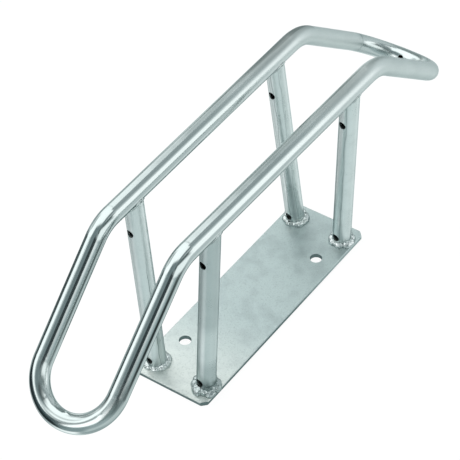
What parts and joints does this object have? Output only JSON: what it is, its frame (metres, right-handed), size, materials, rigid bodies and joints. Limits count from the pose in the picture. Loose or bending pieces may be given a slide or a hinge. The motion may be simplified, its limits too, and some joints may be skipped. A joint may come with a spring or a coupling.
{
  "type": "wall-mounted bike rack",
  "caption": "Bicycle wheel holder for a wall or floor: a closed loop of bent tube grips the tyre between its rails, on tube posts welded to a drilled base plate.",
  "frame": {"origin": "centre of the base plate's underside, on the wall face", "axes": "+Z away from the wall; +X along the plate, towards the shallow nose bend, so the deep front bend is at -X; +Y to the left, across the plate"},
  "size_m": [0.6138, 0.1132, 0.2321],
  "materials": {
    "tube_zinc": "hot-dip galvanised, bright to satin",
    "post_zinc": "hot-dip galvanised, satin",
    "plate_zinc": "hot-dip galvanised, matte and mottled",
    "weld_zinc": "galvanised weld bead, lumpy"
  },
  "bodies": {
    "root": {"base_plate": "plate_zinc", "loop_tube": "tube_zinc", "front_left_post": "post_zinc", "front_right_post": "post_zinc", "rear_left_post": "post_zinc", "rear_right_post": "post_zinc", "front_left_foot_weld": "weld_zinc", "front_right_foot_weld": "weld_zinc", "rear_left_foot_weld": "weld_zinc", "rear_right_foot_weld": "weld_zinc", "front_left_rail_weld": "weld_zinc", "front_right_rail_weld": "weld_zinc", "rear_left_rail_weld": "weld_zinc", "rear_right_rail_weld": "weld_zinc", "loop_butt_weld": "weld_zinc"}
  },
  "joints": []
}
